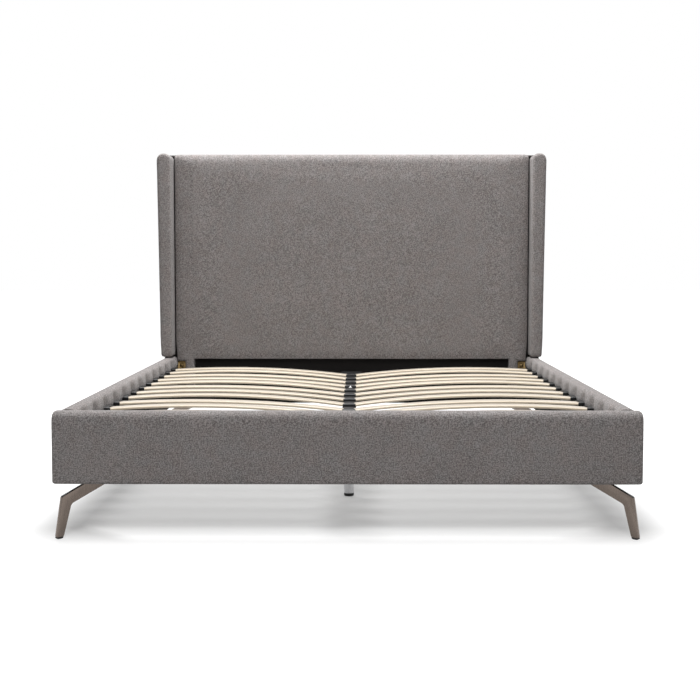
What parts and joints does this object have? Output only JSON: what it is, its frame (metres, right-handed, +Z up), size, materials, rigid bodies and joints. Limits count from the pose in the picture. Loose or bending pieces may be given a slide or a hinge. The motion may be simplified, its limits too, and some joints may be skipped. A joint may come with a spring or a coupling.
{
  "type": "bed",
  "caption": "Upholstered bed frame with a winged padded headboard, bowed sprung slats in moulded holders, a centre rail on levelling feet and bent metal corner legs.",
  "frame": {"origin": "on the floor, under the middle of the bed's overall length and width", "axes": "+X to the right seen from the foot, +Y from the foot to the headboard, +Z up"},
  "size_m": [1.6614, 2.2, 1.24],
  "materials": {
    "upholstery": "grey-taupe melange woven fabric over foam and wadding",
    "lining": "black non-woven lining",
    "timber": "raw softwood and plywood",
    "birch": "pale bent birch laminate, satin",
    "black_plastic": "black moulded plastic",
    "black_steel": "black powder coat",
    "bronze_steel": "brushed, warm gunmetal tint",
    "satin_steel": "satin silver",
    "bright_steel": "bright plated",
    "yellow_zinc": "yellow zinc plate"
  },
  "bodies": {
    "root": {"bracket_bolts": "yellow_zinc", "centre_leg_front": "satin_steel", "centre_leg_nuts": "bright_steel", "centre_leg_rear": "satin_steel", "centre_rail": "black_steel", "centre_rail_brackets": "black_steel", "centre_slat_holders": "black_plastic", "corner_blocks": "timber", "corner_brackets": "yellow_zinc", "corner_legs_front": "bronze_steel", "corner_legs_rear": "bronze_steel", "footboard_board": "timber", "footboard_cover": "upholstery", "headboard_cross_rails": "timber", "headboard_cushion": "upholstery", "headboard_face_board": "lining", "headboard_outer_cover": "upholstery", "headboard_posts": "timber", "headboard_recess_panel": "lining", "ledge_screws": "bright_steel", "leg_glides": "black_plastic", "leg_screws": "bright_steel", "side_rail_board_left": "timber", "side_rail_board_right": "timber", "side_rail_cover_left": "upholstery", "side_rail_cover_right": "upholstery", "side_slat_holders": "black_plastic", "slat_ledges": "black_steel", "slat_left_01": "birch", "slat_left_02": "birch", "slat_left_03": "birch", "slat_left_04": "birch", "slat_left_05": "birch", "slat_left_06": "birch", "slat_left_07": "birch", "slat_left_08": "birch", "slat_left_09": "birch", "slat_left_10": "birch", "slat_left_11": "birch", "slat_left_12": "birch", "slat_right_01": "birch", "slat_right_02": "birch", "slat_right_03": "birch", "slat_right_04": "birch", "slat_right_05": "birch", "slat_right_06": "birch", "slat_right_07": "birch", "slat_right_08": "birch", "slat_right_09": "birch", "slat_right_10": "birch", "slat_right_11": "birch", "slat_right_12": "birch", "wing_board_left": "timber", "wing_board_right": "timber", "wing_pad_left": "upholstery", "wing_pad_right": "upholstery"},
    "levelling_pad_front": {"levelling_pad_front": "black_plastic"},
    "levelling_screw_front": {"levelling_screw_front": "bright_steel"},
    "levelling_pad_rear": {"levelling_pad_rear": "black_plastic"},
    "levelling_screw_rear": {"levelling_screw_rear": "bright_steel"}
  },
  "joints": [
    {"name": "front_foot_slide", "type": "slide", "parent": "root", "child": "levelling_pad_front", "axis": [0, 0, -1], "range_m": [0, 0.012]},
    {"name": "front_screw_turn", "type": "hinge", "parent": "levelling_pad_front", "child": "levelling_screw_front", "pos_m": [0, -0.38798, 0.02], "axis": [0, 0, -1], "range_deg": [0, 2880]},
    {"name": "rear_foot_slide", "type": "slide", "parent": "root", "child": "levelling_pad_rear", "axis": [0, 0, -1], "range_m": [0, 0.012]},
    {"name": "rear_screw_turn", "type": "hinge", "parent": "levelling_pad_rear", "child": "levelling_screw_rear", "pos_m": [0, 0.29, 0.02], "axis": [0, 0, -1], "range_deg": [0, 2880]}
  ],
  "couplings": [
    {"joint": "front_screw_turn", "follows": "front_foot_slide", "rad_per_m": 4188.8},
    {"joint": "rear_screw_turn", "follows": "rear_foot_slide", "rad_per_m": 4188.8}
  ]
}
